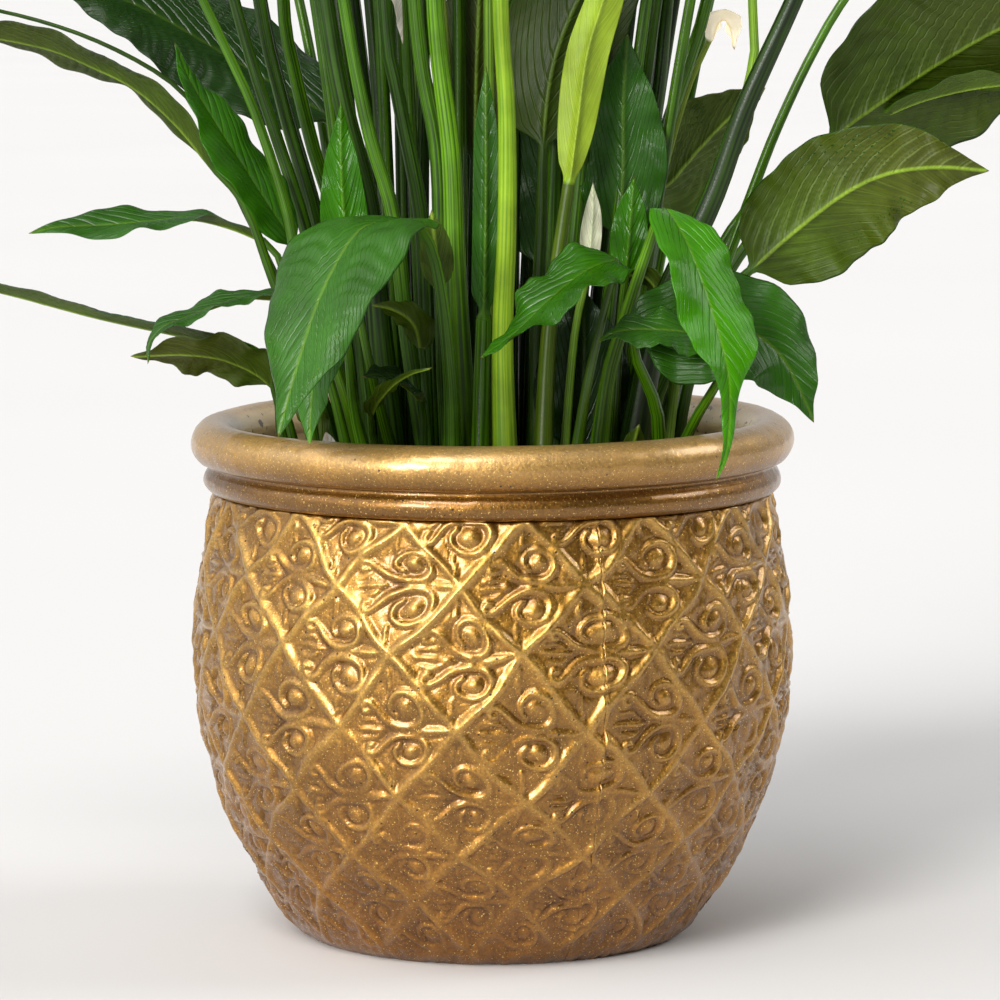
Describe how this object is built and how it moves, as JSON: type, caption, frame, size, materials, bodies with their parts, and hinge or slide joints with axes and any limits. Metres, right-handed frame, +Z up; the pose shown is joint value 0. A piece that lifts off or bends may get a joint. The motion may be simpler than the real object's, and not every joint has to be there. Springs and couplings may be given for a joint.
{
  "type": "potted peace lily",
  "caption": "Peace lily with arching leaves and white flowers, growing in a round belly pot with a rolled rim and gold-painted clay finish.",
  "frame": {"origin": "centre of the pot's flat base, on the surface it stands on", "axes": "+Z up along the pot's axis, +X to the viewer's right, +Y to the back"},
  "size_m": [0.796, 0.5368, 0.8766],
  "materials": {
    "gold_paint": "satin",
    "compost": "matte",
    "root_stock": "matte",
    "mid_leaf": "satin",
    "bright_leaf": "gloss",
    "dark_leaf": "satin",
    "lime_leaf": "satin",
    "spathe": "satin",
    "faded_spathe": "matte",
    "spadix": "matte"
  },
  "bodies": {
    "root": {"pot": "gold_paint", "compost": "compost", "crown": "root_stock", "leaf_front_left_drooping": "mid_leaf", "leaf_front_left_hanging": "mid_leaf", "leaf_front_right_bright": "bright_leaf", "leaf_front_centre_crinkled": "bright_leaf", "leaf_front_right_dark": "mid_leaf", "leaf_small_rim": "mid_leaf", "leaf_small_glossy": "dark_leaf", "leaf_small_pointed": "mid_leaf", "leaf_small_olive": "mid_leaf", "leaf_left_arching": "mid_leaf", "leaf_left_far": "mid_leaf", "leaf_left_glossy": "bright_leaf", "leaf_left_back": "dark_leaf", "leaf_small_upright": "bright_leaf", "leaf_left_twisted": "mid_leaf", "leaf_left_low_curled": "mid_leaf", "leaf_left_low_long": "mid_leaf", "leaf_left_low_olive": "mid_leaf", "leaf_left_short": "mid_leaf", "leaf_centre_flat_sheath": "mid_leaf", "leaf_centre_unrolling": "lime_leaf", "leaf_centre_underside": "dark_leaf", "leaf_centre_upright": "mid_leaf", "leaf_centre_low_dark": "dark_leaf", "leaf_right_underside": "mid_leaf", "leaf_right_upper": "mid_leaf", "leaf_right_back_veined": "mid_leaf", "leaf_canopy_left_thin": "mid_leaf", "leaf_canopy_left": "dark_leaf", "leaf_canopy_left_back": "dark_leaf", "leaf_canopy_back_left": "mid_leaf", "leaf_canopy_front_left_broad": "dark_leaf", "leaf_canopy_front_left": "mid_leaf", "leaf_canopy_left_top": "dark_leaf", "leaf_canopy_front_top": "mid_leaf", "leaf_canopy_front": "bright_leaf", "leaf_canopy_lime_stalk": "lime_leaf", "leaf_canopy_front_right": "dark_leaf", "leaf_canopy_right": "mid_leaf", "leaf_canopy_right_low": "mid_leaf", "leaf_canopy_right_back": "dark_leaf", "leaf_back_left": "mid_leaf", "leaf_back_centre_left": "mid_leaf", "leaf_back_centre": "dark_leaf", "leaf_back_centre_right": "mid_leaf", "leaf_back_right": "mid_leaf", "leaf_top_right": "mid_leaf", "leaf_top_back": "dark_leaf", "flower_tall_front": "spathe", "flower_tall_right": "spathe", "flower_tall_back": "spathe", "flower_bud_low": "spathe", "flower_faded_right": "faded_spathe", "flower_faded_left": "faded_spathe", "flower_tall_front_spadix": "spadix", "flower_tall_right_spadix": "spadix", "flower_tall_back_spadix": "spadix"}
  },
  "joints": []
}
